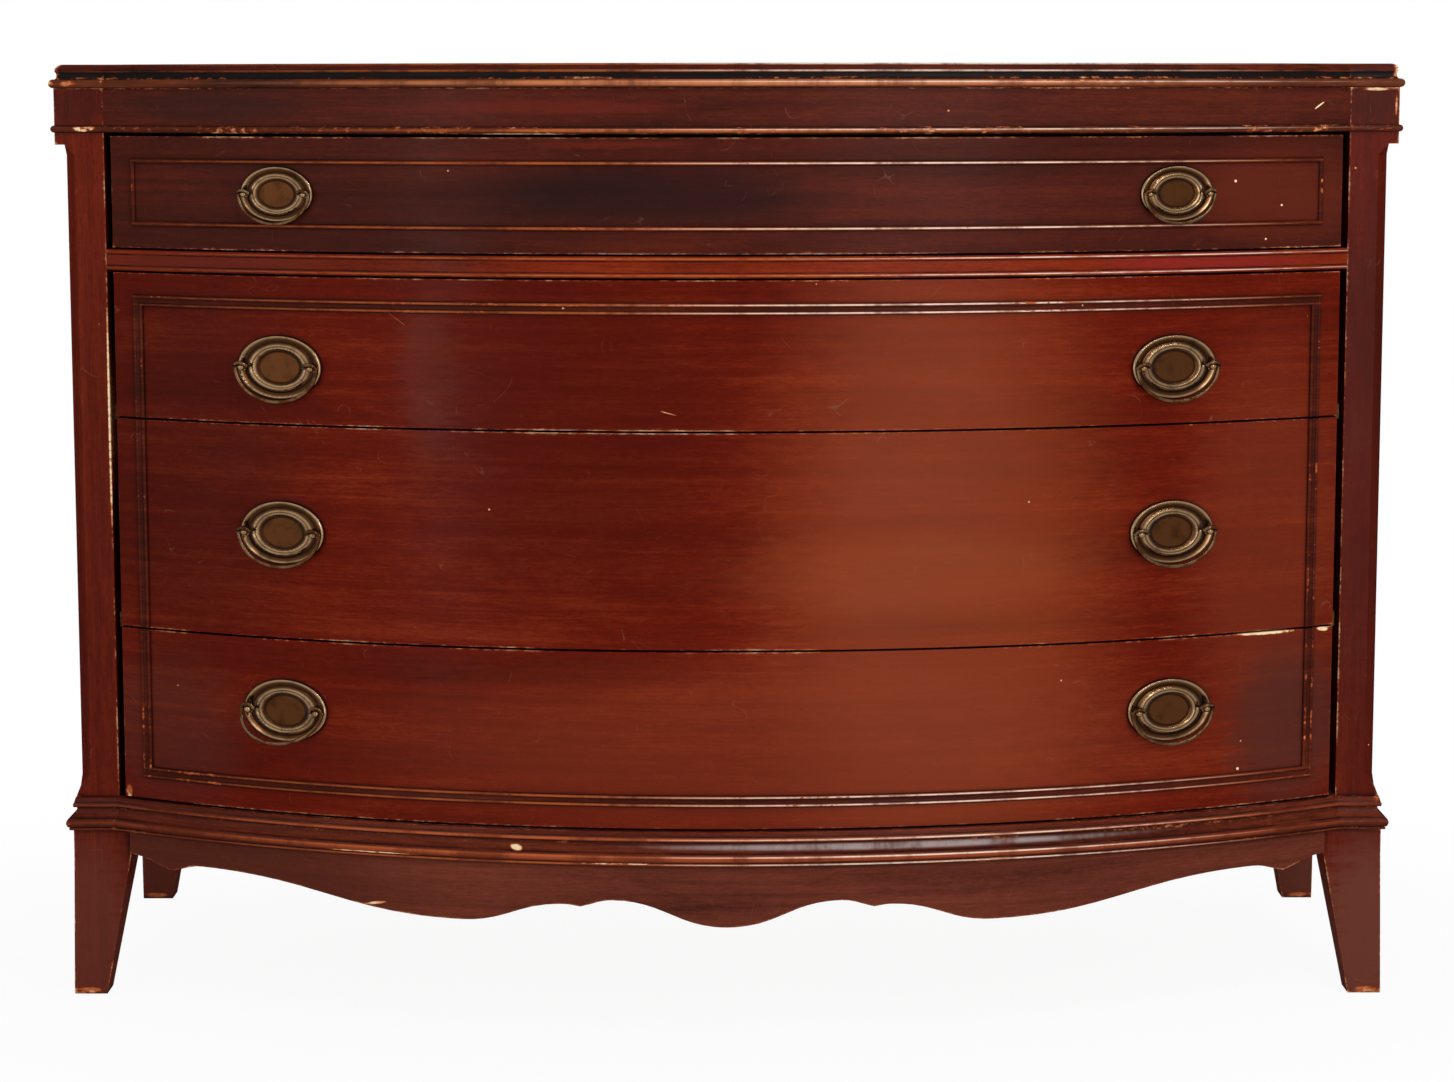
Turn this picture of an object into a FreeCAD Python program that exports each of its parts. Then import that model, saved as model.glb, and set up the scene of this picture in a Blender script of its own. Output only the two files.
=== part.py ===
import FreeCAD, Part
import math
import os

Vector = FreeCAD.Vector
up = Vector(0, 0, 1)

# Overall size, in millimetres
width = 1244.0
depth = 584.0
bow_rise = 156.0
cut_spare = 60.0

# Top board, its moulded edge and the bead under it
top_layer_height = 6.5
top_cove_height = 7.0
top_cove_depth = 1.5
top_fascia_in = 1.2
top_round_in = 7.0
top_round_share = 0.7
top_lip_depth = 16.0
top_bead_height = 8.0
top_bead_out = 4.0

# Frieze, its lower bead and the cross rails
frieze_height = 34.0
frieze_thick = 24.0
frieze_bead_height = 6.5
frieze_bead_out = 3.2
rail_height = 19.0
rail_depth = 70.0
rail_bead_height = 4.5
rail_bead_out = 1.4
blade_thick = 14.0
blade_depth = 55.0
blade_gap = 0.5
tenon_length = 12.0
tenon_thick = 10.0
tenon_share = 0.6
rail_tenon_set = 14.0
blade_tenon_set = 36.0

# Posts and legs
post_width = 45.0
post_depth = 45.0
post_relief = 9.0
post_chamfer = 9.5
lug_height = 11.0
post_stop_height = 11.0
post_stop_out = 4.5
leg_height = 159.0
leg_front_out = 4.0
leg_side_in = 2.0
leg_head_width = 54.0
leg_head_height = 23.0
leg_foot_width = 31.0
leg_splay = 3.0

# Base moulding
base_height = 30.5
base_bead_root = 9.0
base_bead_out = 10.2
base_bead_height = 3.0
base_nose_root = 10.5
base_nose_out = 12.5
base_nose_height = 8.5
base_cove_in = 3.5
base_cove_share = 0.2
base_lip_root = 6.0
base_lip_out = 6.8
base_lip_height = 4.0
base_lip_drop = 5.0
base_ledge_out = 4.5

# Apron: points as shares of the half span and the height, and if the edge runs level there
apron_thick = 20.0
apron_height = 57.0
apron_shares = (
    (1.000, 0.615, True),
    (0.924, 0.422, False),
    (0.866, 0.548, True),
    (0.429, 0.032, True),
    (0.263, 0.343, True),
    (0.236, 0.310, False),
    (0.183, 0.422, True),
    (0.000, 0.000, True),
)
apron_swing_share = 0.45

# Sides and back of the case
side_panel_thick = 8.0
side_panel_in = 3.0
side_panel_groove = 8.0
side_rail_thick = 22.0
side_apron_drop = 40.0
back_panel_thick = 6.0
back_panel_in = 2.0
back_rail_thick = 20.0
back_rail_height = 60.0

# Drawers, from the top one down
drawer_heights = (101.8, 133.1, 194.2, 160.4)
drawer_top_gap = 3.0
drawer_gap = 2.0
drawer_end_gap = 7.0
front_thick = 22.0
side_thick = 12.0
side_gap = 8.5
side_lift = 8.0
side_drop = 8.0
tail_lap = 3.0
tail_length = 40.0
tail_pitch = 38.0
tail_wide_share = 0.62
tail_slim_share = 0.42
box_back_gap = 22.0
box_back_thick = 12.0
box_back_set = 10.0
box_back_drop = 6.0
box_groove = 6.0
box_bottom_thick = 6.0
box_bottom_rise = 10.0

# Runners, stops and blocks inside the case
runner_width = 44.0
runner_height = 14.0
runner_clear = 0.3
guide_height = 10.0
guide_gap = 1.0
stop_height = 18.0
stop_gap = 0.5
cleat_width = 20.0
cleat_height = 20.0
block_size = 22.0
block_height = 30.0
block_shares = (-0.75, -0.45, -0.15, 0.15, 0.45, 0.75)

# Screws
screw_radius = 2.0
screw_length = 30.0
screw_head_radius = 4.0
screw_head_height = 2.5
back_screw_length = 18.0
cleat_screw_shares = (0.2, 0.5, 0.8)
back_screw_shares = (-0.9, -0.45, 0.0, 0.45, 0.9)

# Mouldings planted on the drawer fronts
border_width = 20.0
field_bead_width = 4.6
field_bead_out = 2.2
panel_width = 10.5
panel_out = 2.4
panel_web = 1.0
panel_cove = 0.5
panel_bead_share = 0.32
strip_end_share = 1.5
glue_gap = 0.25

# Pulls: an oval plate, two ball posts and a hanging bail
pull_inset = 162.0
small_pull_share = 0.86
plate_width = 85.0
plate_height = 58.0
plate_rise = 4.0
plate_channel_share = 0.4
plate_floor_share = 0.3
plate_shares = (
    (1.000, 0.00),
    (0.985, 0.55),
    (0.950, 0.80),
    (0.910, 0.66),
    (0.860, plate_channel_share),
    (0.790, plate_channel_share),
    (0.730, 0.72),
    (0.675, 1.00),
    (0.635, 0.84),
    (0.595, 0.93),
    (0.545, 0.58),
    (0.500, 0.34),
    (0.460, plate_floor_share),
)
post_spacing = 70.0
ball_radius = 3.6
hinge_out = 8.0
stem_radius = 2.0
collar_radius = 3.4
collar_height = 1.2
seat_clear = 0.15
shank_clear = 0.2
shank_spare = 5.0
nut_radius = 5.0
nut_height = 3.0
nut_clear = 0.1
pin_radius = 0.95
pin_clear = 0.08
wire_radius = 1.7
curl_radius = 6.0
curl_tip_radius = 2.1
knuckle_radius = 2.3
bail_drop = 31.0
curl_lean_angle = 50.0
curl_turn_angle = 165.0
swung_bail_angle = 28.0
swung_bail = (4, "left")

# Levels and positions that follow from the sizes
base_top = leg_height + base_height
drawer_gaps = drawer_top_gap + drawer_gap * (len(drawer_heights) + 1)
opening_top = base_top + sum(drawer_heights) + rail_height + drawer_gaps
lug_bottom = opening_top - lug_height
frieze_bottom = opening_top + frieze_bead_height
frame_top = frieze_bottom + frieze_height
edge_bottom = frame_top + top_bead_height
height = edge_bottom + top_cove_height + top_layer_height
post_out_x = width / 2 - top_bead_out
post_in_x = post_out_x - post_width
shaft_x = post_out_x - post_relief
leg_out_x = post_out_x - leg_side_in
leg_in_x = leg_out_x - leg_head_width
panel_out_x = shaft_x - side_panel_in
panel_in_x = panel_out_x - side_panel_thick
drawer_half = post_in_x - drawer_end_gap
pull_x = drawer_half - pull_inset
side_out_x = post_in_x - side_gap
side_in_x = side_out_x - side_thick
face_y = -depth / 2 + bow_rise + base_nose_out
back_y = depth / 2
rear_y = back_y - post_depth
inner_y = face_y + post_depth
box_end_y = rear_y - box_back_gap
bow_radius = (post_in_x ** 2 + bow_rise ** 2) / (2 * bow_rise)
axis_y = face_y - bow_rise + bow_radius
bow_axis = Vector(0, axis_y, 0)


def block(x0, x1, y0, y1, z0, z1):
    """A plain box between two corners."""
    return Part.makeBox(x1 - x0, y1 - y0, z1 - z0, Vector(x0, y0, z0))


def mirrored(shape):
    """The same piece on the other side of the chest."""
    return shape.mirror(Vector(0, 0, 0), Vector(1, 0, 0))


def both(shape):
    """The piece and its mirror image."""
    return [mirrored(shape), shape]


def fused(shapes):
    """Several touching or crossing pieces made one."""
    return shapes[0].multiFuse(shapes[1:]).removeSplitter()


def bow_y(x, out):
    """How far forward the bow stands at x, on a line set out from the front."""
    return axis_y - math.sqrt((bow_radius + out) ** 2 - x ** 2)


def bow_band(out, thick, z0, z1, half):
    """A board bent to the bow, its ends square to the width."""
    outer = Part.makeCylinder(bow_radius + out, z1 - z0, Vector(0, axis_y, z0))
    inner = Part.makeCylinder(bow_radius + out - thick, z1 - z0, Vector(0, axis_y, z0))
    reach = block(-half, half, axis_y - bow_radius - cut_spare, axis_y, z0, z1)
    return outer.cut(inner).common(reach)


def profile_face(place, points):
    """A flat face from (out, level) points; a point of four numbers ends an arc."""
    edges = []
    last = place(*points[0])
    for point in points[1:]:
        here = place(*point[-2:])
        if len(point) > 2:
            edges.append(Part.Arc(last, place(*point[:2]), here).toShape())
        else:
            edges.append(Part.makeLine(last, here))
        last = here
    edges.append(Part.makeLine(last, place(*points[0])))
    return Part.Face(Part.Wire(edges))


def bow_strip(points, x0, x1):
    """A profile swept along the bow from x0 to x1."""
    face = profile_face(lambda out, z: Vector(0, axis_y - bow_radius - out, z), points)
    start = math.degrees(math.asin(x0 / bow_radius))
    face.rotate(bow_axis, up, start)
    return face.revolve(bow_axis, up, math.degrees(math.asin(x1 / bow_radius)) - start)


def trimmed(shape, x, y, angle):
    """The piece cut off at an upright plane through (x, y) that faces the angle."""
    span = width + depth + height
    beyond = Part.makeBox(span, 2 * span, 2 * span, Vector(0, -span, -span))
    beyond.Placement = FreeCAD.Placement(Vector(x, y, 0), FreeCAD.Rotation(up, angle))
    return shape.cut(beyond)


def moulding(points, side_x):
    """Five mitred strips: the bow, a flat before each post and a return along each side."""
    half_turn = 180
    corner = half_turn / 4
    kink = math.degrees(math.atan2(bow_rise, post_in_x))
    bow = bow_strip(points, -post_in_x - cut_spare, post_in_x + cut_spare)
    bow = trimmed(bow, post_in_x, face_y, kink)
    bow = trimmed(bow, -post_in_x, face_y, half_turn - kink)
    start = post_in_x - cut_spare
    flat = profile_face(lambda out, z: Vector(start, face_y - out, z), points)
    flat = flat.extrude(Vector(side_x - start + cut_spare, 0, 0))
    flat = trimmed(trimmed(flat, post_in_x, face_y, half_turn + kink), side_x, face_y, corner)
    side = profile_face(lambda out, z: Vector(side_x + out, face_y - cut_spare, z), points)
    side = side.extrude(Vector(0, back_y - face_y + cut_spare, 0))
    side = trimmed(side, side_x, face_y, half_turn + corner)
    return Part.makeCompound([bow] + both(flat) + both(side))


def bead_points(root, out, z0, z1):
    """A round-nosed strip that reaches back to the root."""
    nose = [(0, z0), (out, (z0 + z1) / 2, 0, z1)]
    return [(root, z0)] + nose + [(root, z1)] if root else nose


def top_edge_points():
    """The top's moulded lip: a hollow below a rounded layer."""
    fascia = -top_fascia_in
    hollow = fascia - top_cove_depth
    layer = edge_bottom + top_cove_height
    round_out = fascia - (top_round_in - top_fascia_in) * (1 - top_round_share)
    return [
        (-top_lip_depth, edge_bottom),
        (fascia, edge_bottom),
        (hollow, (edge_bottom + layer) / 2, fascia, layer),
        (round_out, layer + top_layer_height * top_round_share, -top_round_in, height),
        (-top_lip_depth, height),
    ]


def base_points():
    """The base moulding from its lowest bead up to the ledge under the drawers."""
    bead_top = leg_height + base_bead_height
    nose_top = bead_top + base_nose_height
    lip_top = base_top - base_lip_drop
    lip_bottom = lip_top - base_lip_height
    cove_out = base_cove_in + (base_nose_root - base_cove_in) * base_cove_share
    cove_z = nose_top + (lip_bottom - nose_top) * base_cove_share * 2
    return [
        (0, leg_height),
        (base_bead_root, leg_height),
        (base_bead_out, (leg_height + bead_top) / 2, base_bead_root, bead_top),
        (base_nose_root, bead_top),
        (base_nose_out, (bead_top + nose_top) / 2, base_nose_root, nose_top),
        (cove_out, cove_z, base_cove_in, lip_bottom),
        (base_lip_root, lip_bottom),
        (base_lip_out, (lip_bottom + lip_top) / 2, base_lip_root, lip_top),
        (base_ledge_out, base_top),
        (0, base_top),
    ]


def top_board():
    """The flat board inside the moulded lip."""
    front_y = face_y + top_lip_depth
    side_x = post_out_x - top_lip_depth
    bend_x = math.sqrt(bow_rise * (2 * bow_radius - bow_rise - 2 * top_lip_depth))
    bend = Vector(bend_x, front_y, frame_top)
    crown = Vector(0, axis_y - bow_radius + top_lip_depth, frame_top)
    corners = [
        bend,
        Vector(side_x, front_y, frame_top),
        Vector(side_x, back_y, frame_top),
        Vector(-side_x, back_y, frame_top),
        Vector(-side_x, front_y, frame_top),
        Vector(-bend_x, front_y, frame_top),
    ]
    edges = [Part.makeLine(a, b) for a, b in zip(corners, corners[1:])]
    edges.append(Part.Arc(corners[-1], crown, bend).toShape())
    return Part.Face(Part.Wire(edges)).extrude(Vector(0, 0, height - frame_top))


def tenoned(board, z0, z1, set_back):
    """A cross board with a tenon at each end."""
    middle = (z0 + z1) / 2
    half = (z1 - z0) * tenon_share / 2
    y = face_y + set_back - tenon_thick / 2
    start = post_in_x - tenon_length
    tenon = block(start, post_in_x + tenon_length, y, y + tenon_thick, middle - half, middle + half)
    return fused([board] + both(tenon))


def divider_rail(z0, z1):
    """The rail under the first drawer, with a bead along each edge of its face."""
    low = z0 + rail_bead_height
    high = z1 - rail_bead_height
    points = [
        (-rail_depth, z0),
        (0, z0),
        (rail_bead_out, (z0 + low) / 2, 0, low),
        (0, high),
        (rail_bead_out, (high + z1) / 2, 0, z1),
        (-rail_depth, z1),
    ]
    board = bow_strip(points, -post_in_x - cut_spare, post_in_x + cut_spare)
    reach = block(-post_in_x, post_in_x, axis_y - bow_radius - cut_spare, axis_y, z0, z1)
    return tenoned(board.common(reach), z0, z1, rail_tenon_set)


def leg(y0, y1, foot_y0, foot_y1):
    """A right leg: a straight head and a slightly splayed foot tapered on its inner sides."""
    shoulder = leg_height - leg_head_height
    foot_x = leg_out_x + leg_splay
    rings = []
    for x0, x1, near, far, z in (
        (leg_in_x, leg_out_x, y0, y1, shoulder),
        (foot_x - leg_foot_width, foot_x, foot_y0, foot_y1, 0),
    ):
        ring = [Vector(x0, near, z), Vector(x1, near, z), Vector(x1, far, z), Vector(x0, far, z)]
        rings.append(Part.makePolygon(ring + ring[:1]))
    return [block(leg_in_x, leg_out_x, y0, y1, shoulder, leg_height), Part.makeLoft(rings, True, True)]


def shaft(y0):
    """A right post above its leg: relieved on the outer side between two square stops."""
    y1 = y0 + post_depth
    flare = [
        Vector(shaft_x, y0, base_top + post_stop_height),
        Vector(shaft_x, y0, base_top),
        Vector(shaft_x + post_stop_out, y0, base_top),
    ]
    flare = Part.Face(Part.makePolygon(flare + flare[:1])).extrude(Vector(0, post_depth, 0))
    return [
        block(post_in_x, shaft_x, y0, y1, leg_height, lug_bottom),
        block(post_in_x, post_out_x, y0, y1, lug_bottom, frame_top),
        flare,
    ]


def chamfer():
    """The wedge taken off a front post's outer corner, pointed at both ends."""
    low = base_top + post_stop_height
    sections = []
    for size, z in (
        (0, low),
        (post_chamfer, low + post_chamfer),
        (post_chamfer, lug_bottom - post_chamfer),
        (0, lug_bottom),
    ):
        corner = Vector(shaft_x, face_y, z)
        ring = [corner, corner + Vector(0, size, 0), corner - Vector(size, 0, 0)]
        sections.append(Part.makePolygon(ring + ring[:1]) if size else Part.Vertex(corner))
    return Part.makeLoft(sections, True, True)


def front_post():
    """The right front post with its leg."""
    near = face_y - leg_front_out
    pieces = leg(near, near + leg_head_width, near, near + leg_foot_width) + shaft(face_y)
    return fused(pieces).cut(chamfer())


def rear_post():
    """The right rear post with its leg."""
    far = back_y
    pieces = leg(far - leg_head_width, far, far - leg_foot_width, far) + shaft(rear_y)
    return fused(pieces)


def apron():
    """The bowed apron with its swinging lower edge."""
    low = leg_height - apron_height
    right = [(x * leg_in_x, low + z * apron_height, level) for x, z, level in apron_shares]
    left = [(-x, z, level) for x, z, level in right[-2::-1]]
    outline = right + left
    y = axis_y - bow_radius - cut_spare
    edges = []
    for (x0, z0, level0), (x1, z1, level1) in zip(outline, outline[1:]):
        pull = (x1 - x0) * apron_swing_share
        lift = (z1 - z0) * apron_swing_share
        near = Vector(x0 + pull, y, z0 if level0 else z0 + lift)
        far = Vector(x1 - pull, y, z1 if level1 else z1 - lift)
        curve = Part.BezierCurve()
        curve.setPoles([Vector(x0, y, z0), near, far, Vector(x1, y, z1)])
        edges.append(curve.toShape())
    ends = [Vector(outline[-1][0], y, outline[-1][1]), Vector(-leg_in_x, y, leg_height)]
    ends += [Vector(leg_in_x, y, leg_height), Vector(leg_in_x, y, outline[0][1])]
    edges += [Part.makeLine(a, b) for a, b in zip(ends, ends[1:])]
    outline_face = Part.Face(Part.Wire(edges))
    return apron_band().common(outline_face.extrude(Vector(0, axis_y - y, 0)))


def apron_band():
    """The apron's bent board before its lower edge is shaped."""
    return bow_band(leg_front_out, apron_thick, leg_height - apron_height, leg_height, leg_in_x)


def glue_blocks():
    """Blocks behind the apron, glued under the bottom rail."""
    blocks = []
    for share in block_shares:
        x = share * leg_in_x
        y = bow_y(x, leg_front_out - apron_thick / 2)
        x0 = x - block_size / 2
        piece = block(x0, x0 + block_size, y, y + block_size, leg_height - block_height, leg_height)
        blocks.append(piece.cut(apron_band()))
    return Part.makeCompound(blocks)


def drawer_levels():
    """Bottom and top of every drawer front, and of the rail under the first."""
    levels = []
    rail = None
    z = opening_top - drawer_top_gap
    for tall in drawer_heights:
        levels.append((z - tall, z))
        z = levels[-1][0] - drawer_gap
        if rail is None:
            rail = (z - rail_height, z)
            z = rail[0] - drawer_gap
    return levels, rail


def runner(z0):
    """A right runner with its guide, under a drawer side."""
    top = z0 + side_lift - runner_clear
    bed = block(panel_in_x - runner_width, panel_in_x, inner_y, rear_y, top - runner_height, top)
    guide = block(side_out_x + guide_gap, panel_in_x, inner_y, rear_y, top, top + guide_height)
    return fused([bed, guide])


def drawer_stop(z0):
    """A block on a right runner that meets the end of the drawer side."""
    top = z0 + side_lift - runner_clear
    x0 = panel_in_x - runner_width
    return block(x0, side_out_x, box_end_y + stop_gap, rear_y, top, top + stop_height)


def blade(z0):
    """A rail hidden behind the fronts, level with the runners."""
    top = z0 + side_lift - runner_clear
    bottom = top - blade_thick
    board = bow_band(-front_thick - blade_gap, blade_depth, bottom, top, post_in_x)
    return tenoned(board, bottom, top, blade_tenon_set)


def side_top_rail():
    """The right rail beside the frieze."""
    return block(post_out_x - side_rail_thick, post_out_x, inner_y, rear_y, lug_bottom, frame_top)


def side_bottom_rail():
    """The right rail behind the base moulding, down to a plain apron."""
    bottom = leg_height - side_apron_drop
    return block(shaft_x - side_rail_thick, shaft_x, inner_y, rear_y, bottom, base_top)


def side_panel():
    """The right panel, let into the posts and rails."""
    groove = side_panel_groove
    z0 = base_top - groove
    return block(panel_in_x, panel_out_x, inner_y - groove, rear_y + groove, z0, lug_bottom + groove)


def back_rail(z0):
    """A rail between the rear posts."""
    far = back_y - back_panel_in - back_panel_thick
    board = block(-post_in_x, post_in_x, far - back_rail_thick, far, z0, z0 + back_rail_height)
    return tenoned(board, z0, z0 + back_rail_height, far - back_rail_thick / 2 - face_y)


def screw(point, way, length):
    """A plain screw whose head lies flush at the point."""
    head = Part.makeCylinder(screw_head_radius, screw_head_height, point, way)
    return fused([head, Part.makeCylinder(screw_radius, length, point, way)])


def cleat():
    """The right strip that the top is screwed down through."""
    x1 = post_out_x - side_rail_thick
    return block(x1 - cleat_width, x1, inner_y, rear_y, frame_top - cleat_height, frame_top)


def cleat_screws():
    """Screws up through both cleats into the top."""
    x = post_out_x - side_rail_thick - cleat_width / 2
    screws = []
    for share in cleat_screw_shares:
        y = inner_y + (rear_y - inner_y) * share
        screws += both(screw(Vector(x, y, frame_top - cleat_height), up, screw_length))
    return screws


def back_screws(levels):
    """Screws through the back panel into its rails."""
    screws = []
    for z in levels:
        for share in back_screw_shares:
            point = Vector(share * post_in_x, back_y - back_panel_in, z)
            screws.append(screw(point, Vector(0, -1, 0), back_screw_length))
    return screws


def dovetails(z0, z1):
    """The tails on the front end of a right drawer side, before they meet the front."""
    count = max(2, round((z1 - z0) / tail_pitch))
    pitch = (z1 - z0) / count
    y0 = face_y + tail_lap
    y1 = y0 + tail_length
    tails = []
    for number in range(count):
        z = z0 + pitch * (number + 1 / 2)
        wide = pitch * tail_wide_share / 2
        slim = pitch * tail_slim_share / 2
        ring = [Vector(side_in_x, y0, z - wide), Vector(side_in_x, y0, z + wide)]
        ring += [Vector(side_in_x, y1, z + slim), Vector(side_in_x, y1, z - slim)]
        tails.append(Part.Face(Part.makePolygon(ring + ring[:1])).extrude(Vector(side_thick, 0, 0)))
    return tails


def drawer_bottom(z0):
    """The drawer's thin bottom, its front edge bent to the bow."""
    bottom = z0 + side_lift + box_bottom_rise
    half = side_in_x + box_groove
    sheet = block(-half, half, axis_y - bow_radius, box_end_y, bottom, bottom + box_bottom_thick)
    radius = bow_radius - front_thick + box_groove
    return sheet.common(Part.makeCylinder(radius, box_bottom_thick, Vector(0, axis_y, bottom)))


def drawer_back(z0, z1):
    """The board across the back of a drawer, standing on its bottom."""
    half = side_in_x + box_groove
    far = box_end_y - box_back_set
    bottom = z0 + side_lift + box_bottom_rise + box_bottom_thick
    return block(-half, half, far - box_back_thick, far, bottom, z1 - side_drop - box_back_drop)


def field_points():
    """A single bead, across its width from the border inwards."""
    return [(0, 0), (field_bead_width / 2, field_bead_out, field_bead_width, 0)]


def panel_points():
    """Two beads with a hollow between, across the width from the border inwards."""
    bead = panel_width * panel_bead_share
    far = panel_width - bead
    return [
        (0, 0),
        (0, panel_web),
        (bead / 2, panel_out, bead, panel_web),
        (panel_width / 2, panel_cove, far, panel_web),
        (panel_width - bead / 2, panel_out, panel_width, panel_web),
        (panel_width, 0),
    ]


def local_frame(x, out, z):
    """A placement on the bow: across to the right, up, and straight out."""
    angle = math.asin(x / bow_radius)
    spot = Vector(x, axis_y - bow_radius * math.cos(angle), z)
    across = Vector(math.cos(angle), math.sin(angle), 0)
    outward = Vector(math.sin(angle), -math.cos(angle), 0)
    spot += outward * out
    matrix = FreeCAD.Matrix(
        across.x, up.x, outward.x, spot.x,
        across.y, up.y, outward.y, spot.y,
        across.z, up.z, outward.z, spot.z,
        0, 0, 0, 1,
    )
    return FreeCAD.Placement(matrix)


def level_strip(points, z, way, wide, half):
    """A strip along the bow, its width up or down from z, swept as a middle and two short ends."""
    place = [tuple(n for x, out in pairs(p) for n in (out + glue_gap, z + way * x)) for p in points]
    end = half - wide * strip_end_share
    stops = [-half - wide, -end, end, half + wide]
    lengths = [bow_strip(place, x0, x1) for x0, x1 in zip(stops, stops[1:])]
    strip = lengths[0].multiFuse(lengths[1:])
    for side in (-1, 1):
        strip = strip.cut(mitre(side * half, z, -side, way, wide, True))
    return strip


def pairs(point):
    """The (across, out) pairs in a point of two or four numbers."""
    return [point[i:i + 2] for i in range(0, len(point), 2)]


def upright_strip(points, x, side, z0, z1):
    """A strip up the front whose width runs inwards from x."""
    face = profile_face(lambda across, out: Vector(-side * across, 0, out), points)
    strip = face.extrude(Vector(0, z1 - z0, 0))
    strip.Placement = local_frame(x, glue_gap, z0)
    return strip


def mitre(x, z, inward, way, wide, level):
    """The half of a strip's corner square that its neighbour takes."""
    reach = wide + cut_spare
    outer = Vector(-cut_spare * inward, -cut_spare * way, 0)
    inner = Vector(reach * inward, reach * way, 0)
    other = Vector(outer.x, inner.y, 0) if level else Vector(inner.x, outer.y, 0)
    cutter = Part.Face(Part.makePolygon([outer, inner, other, outer])).extrude(up * cut_spare)
    cutter.Placement = local_frame(x, -cut_spare / 2, z)
    return cutter


def planted_frame(z0, z1, points, wide, has_top, has_bottom):
    """The mitred strips of one drawer front's moulding."""
    half = drawer_half - border_width
    low = z0 + border_width if has_bottom else z0
    high = z1 - border_width if has_top else z1
    strips = []
    for side in (-1, 1):
        strip = upright_strip(points, side * half, side, low - wide * has_bottom, high + wide * has_top)
        if has_top:
            strip = strip.cut(mitre(side * half, high, -side, -1, wide, False))
        if has_bottom:
            strip = strip.cut(mitre(side * half, low, -side, 1, wide, False))
        strips.append(strip)
    if has_top:
        strips.append(level_strip(points, high, -1, wide, half))
    if has_bottom:
        strips.append(level_strip(points, low, 1, wide, half))
    return Part.makeCompound(strips)


def front_moulding(number, z0, z1):
    """The moulding on a drawer front, and the middle height of the field it leaves."""
    if number == 1:
        frame = planted_frame(z0, z1, field_points(), field_bead_width, True, True)
        return frame, (z0 + z1) / 2
    first = number == 2
    last = number == len(drawer_heights)
    frame = planted_frame(z0, z1, panel_points(), panel_width, first, last)
    taken = border_width + panel_width
    return frame, (z0 + z1 + taken * (last - first)) / 2


def plate(size):
    """An oval plate with a raised rim and ring, drilled and seated for two posts."""
    radius = plate_height * size / 2
    rise = plate_rise * size
    curve = Part.BSplineCurve()
    curve.interpolate([Vector(r * radius, 0, h * rise) for r, h in plate_shares])
    rim = curve.StartPoint
    floor = curve.EndPoint
    corners = [floor, Vector(0, 0, floor.z), Vector(0, 0, 0), rim]
    edges = [curve.toShape()] + [Part.makeLine(a, b) for a, b in zip(corners, corners[1:])]
    oval = Part.Face(Part.Wire(edges)).revolve(Vector(0, 0, 0), up, 360)
    matrix = FreeCAD.Matrix()
    matrix.scale(plate_width / plate_height, 1, 1)
    oval = oval.transformGeometry(matrix)
    for side in (-1, 1):
        spot = Vector(side * post_spacing * size / 2, 0, 0)
        seat = spot + up * rise * plate_channel_share
        oval = oval.cut(Part.makeCylinder(stem_radius + shank_clear, rise, spot))
        oval = oval.cut(Part.makeCylinder(collar_radius * size + seat_clear, rise, seat))
    return oval


def nut_depth(size):
    """How far behind the plate the nuts clear the hollow back of the front."""
    reach = post_spacing * size / 2 + nut_radius
    inner = bow_radius - front_thick
    return bow_radius - math.sqrt(inner ** 2 - reach ** 2) + nut_clear


def post_shank(size, side, clear):
    """The round shank of one post, from its collar to past its nut."""
    back = nut_depth(size) + shank_spare
    spot = Vector(side * post_spacing * size / 2, 0, -back)
    return Part.makeCylinder(stem_radius + clear, back + plate_rise * size * plate_channel_share, spot)


def pull_post(size, side):
    """A turned post with a collar, a drilled ball head and a shank, and its nut."""
    x = side * post_spacing * size / 2
    seat = plate_rise * size * plate_channel_share
    out = hinge_out * size
    ball = ball_radius * size
    collar = collar_radius * size
    back = nut_depth(size) + shank_spare
    outline = [
        (0, -back),
        (stem_radius, -back),
        (stem_radius, seat),
        (collar, seat),
        (collar, seat + collar_height * size),
        (stem_radius, seat + collar_height * size),
        (stem_radius, out - math.sqrt(ball ** 2 - stem_radius ** 2)),
        (ball, out, 0, out + ball),
    ]
    half = profile_face(lambda radius, level: Vector(x + radius, 0, level), outline)
    post = half.revolve(Vector(x, 0, 0), up, 360)
    hole_start = Vector(x - cut_spare / 2, 0, out)
    hole = Part.makeCylinder(pin_radius + pin_clear, cut_spare, hole_start, Vector(1, 0, 0))
    nut_spot = Vector(x, 0, -nut_depth(size) - nut_height)
    nut = Part.makeCylinder(nut_radius, nut_height, nut_spot).cut(post_shank(size, side, 0))
    return [post.cut(hole), nut]


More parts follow.
